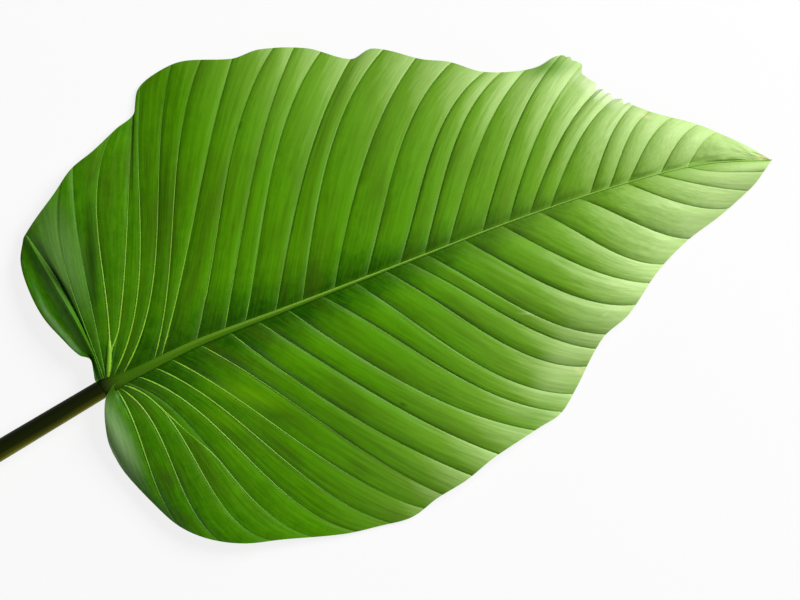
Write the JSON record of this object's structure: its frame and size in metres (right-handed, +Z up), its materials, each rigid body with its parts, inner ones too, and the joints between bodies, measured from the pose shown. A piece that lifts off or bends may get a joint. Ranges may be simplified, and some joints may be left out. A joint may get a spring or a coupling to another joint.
{
  "type": "philodendron leaf",
  "caption": "Large heart-shaped pleated green leaf with a pale midrib and its cut stalk, lying flat with the upper face up.",
  "frame": {"origin": "bottom centre of the whole leaf's box, on the surface that it lies on", "axes": "+X from the stalk towards the leaf's tip, +Y towards its left half, +Z up out of its upper face"},
  "size_m": [0.4816, 0.2534, 0.0202],
  "materials": {
    "leaf_blade": "waxy satin green leaf skin",
    "leaf_stalk": "smooth waxy dark green stalk"
  },
  "bodies": {
    "root": {"leaf_blade": "leaf_blade", "leaf_stalk": "leaf_stalk"}
  },
  "joints": []
}
